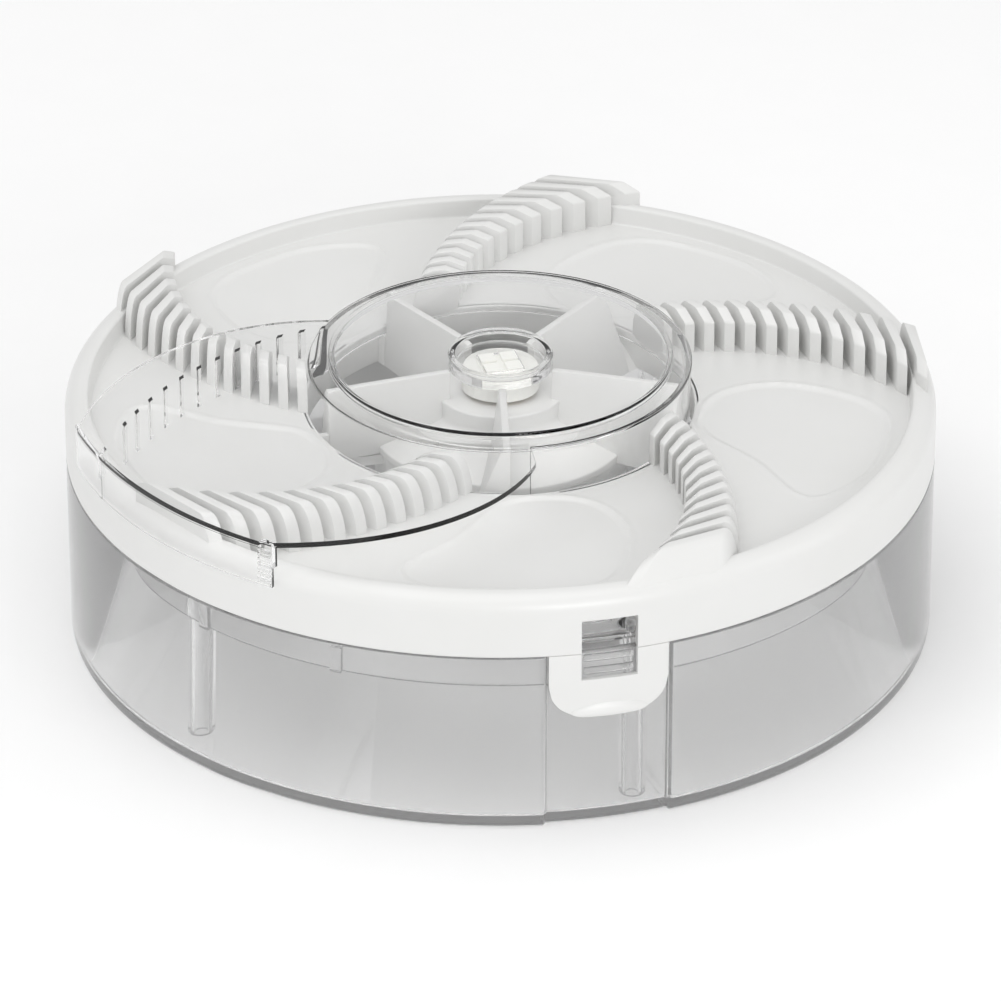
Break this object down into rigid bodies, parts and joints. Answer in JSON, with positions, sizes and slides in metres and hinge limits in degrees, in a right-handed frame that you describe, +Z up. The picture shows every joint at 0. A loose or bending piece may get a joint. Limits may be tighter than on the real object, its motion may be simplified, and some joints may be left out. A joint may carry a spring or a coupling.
{
  "type": "rotating electric fly trap",
  "caption": "Round rotating fly trap: clear catch bowl, white top with curved rows of fins round a central well, and a clear cover that turns and sweeps flies in.",
  "frame": {"origin": "centre of the bowl's underside", "axes": "+Z up along the cover's turning axis, front latch towards -Y, back latch towards +Y"},
  "size_m": [0.186, 0.1866, 0.062],
  "materials": {
    "clear_plastic": "clear glossy",
    "white_plastic": "satin gloss",
    "natural_plastic": "satin",
    "steel": "satin",
    "brass": "satin",
    "board": "satin",
    "cell_wrap": "gloss",
    "light_pipe": "gloss",
    "black_plastic": "satin",
    "red_lead": "satin",
    "black_lead": "satin"
  },
  "bodies": {
    "bowl_body": {"bowl": "clear_plastic"},
    "latch_front_body": {"latch_front": "white_plastic"},
    "latch_back_body": {"latch_back": "white_plastic"},
    "drive_body": {"drive_spindle": "natural_plastic", "output_gear": "natural_plastic", "spindle_washer": "steel"},
    "cover_body": {"cover": "clear_plastic"},
    "idler_body": {"idler_gear": "natural_plastic"},
    "motor_rotor_body": {"motor_shaft": "steel", "motor_pinion": "brass"},
    "switch_knob_body": {"switch_knob": "black_plastic"},
    "top_body": {"housing": "white_plastic", "guard_ring": "clear_plastic", "drive_pod": "white_plastic", "motor": "steel", "gear_plate": "natural_plastic", "motor_lead": "red_lead", "spindle_bush": "brass", "battery_cell": "cell_wrap", "battery_tray": "white_plastic", "switch_lead": "black_lead", "motor_screw_1": "steel", "motor_screw_2": "steel", "pod_screw_1": "steel", "pod_screw_2": "steel", "pod_screw_3": "steel", "tray_screw_1": "steel", "tray_screw_2": "steel", "board_screw_1": "steel", "board_screw_2": "steel", "charge_lead": "red_lead", "charge_board": "board", "charge_light": "light_pipe", "battery_contact_1": "steel", "battery_contact_2": "steel", "idler_axle": "steel", "charge_port": "steel", "switch_body": "black_plastic"}
  },
  "joints": [
    {"name": "top_lift", "type": "slide", "parent": "bowl_body", "child": "top_body", "axis": [0, 0, 1], "range_m": [0, 0.05]},
    {"name": "latch_front_flex", "type": "hinge", "parent": "top_body", "child": "latch_front_body", "pos_m": [0, -0.0919, 0.04035], "axis": [-1, 0, 0], "range_deg": [0, 6], "stiffness_Nm_per_rad": 0.5},
    {"name": "latch_back_flex", "type": "hinge", "parent": "top_body", "child": "latch_back_body", "pos_m": [0, 0.0919, 0.04035], "axis": [1, 0, 0], "range_deg": [0, 6], "stiffness_Nm_per_rad": 0.5},
    {"name": "cover_spin", "type": "hinge", "parent": "top_body", "child": "drive_body", "pos_m": [0, 0, 0.04], "axis": [0, 0, 1], "continuous": true},
    {"name": "cover_lift", "type": "slide", "parent": "drive_body", "child": "cover_body", "axis": [0, 0, 1], "range_m": [0, 0.03]},
    {"name": "idler_spin", "type": "hinge", "parent": "top_body", "child": "idler_body", "pos_m": [0.0144, 0, 0.035], "axis": [0, 0, 1], "continuous": true},
    {"name": "motor_spin", "type": "hinge", "parent": "top_body", "child": "motor_rotor_body", "pos_m": [0.00602, -0.00859, 0.03], "axis": [0, 0, 1], "continuous": true},
    {"name": "switch_slide", "type": "slide", "parent": "top_body", "child": "switch_knob_body", "axis": [-0.9563, 0.2924, 0], "range_m": [0, 0.003]}
  ],
  "couplings": [
    {"joint": "idler_spin", "follows": "cover_spin", "ratio": -3},
    {"joint": "motor_spin", "follows": "cover_spin", "ratio": 9}
  ]
}
